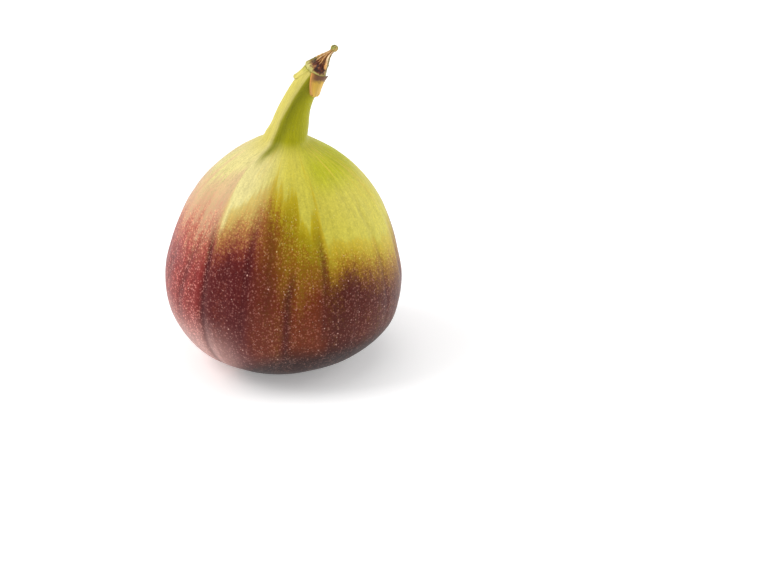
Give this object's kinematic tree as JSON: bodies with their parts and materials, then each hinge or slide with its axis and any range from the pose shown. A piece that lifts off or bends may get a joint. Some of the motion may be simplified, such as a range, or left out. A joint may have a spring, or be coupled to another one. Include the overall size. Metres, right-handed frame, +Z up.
{
  "type": "fresh fig",
  "caption": "Whole fresh fig: a plump teardrop body with shallow furrows, a tapered bent neck, a dry hooked stem stub with small bracts, and a scaled eye beneath.",
  "frame": {"origin": "under the middle of the fruit, on the surface that it stands on", "axes": "+Z up from the blossom end towards the stem, -Y the front, +X the side that the neck bends to"},
  "size_m": [0.0514, 0.0512, 0.0707],
  "materials": {
    "skin": "satin fruit skin, green at the neck and shoulder and purple below, with pale specks and a thin bloom",
    "dry_stem": "dry and fibrous, brown with tan ridges and an olive tip",
    "green_bract": "thin, matt, yellow-green",
    "dry_bract": "thin, dry, golden brown",
    "eye_scale": "matt, brown with purple edges"
  },
  "bodies": {
    "root": {"fruit": "skin", "stem_stub": "dry_stem", "bract_left": "green_bract", "bract_right": "dry_bract", "bract_back": "green_bract", "eye_scale_outer_1": "eye_scale", "eye_scale_outer_2": "eye_scale", "eye_scale_outer_3": "eye_scale", "eye_scale_outer_4": "eye_scale", "eye_scale_outer_5": "eye_scale", "eye_scale_outer_6": "eye_scale", "eye_scale_inner_1": "eye_scale", "eye_scale_inner_2": "eye_scale", "eye_scale_inner_3": "eye_scale", "eye_scale_inner_4": "eye_scale", "eye_scale_inner_5": "eye_scale"}
  },
  "joints": []
}
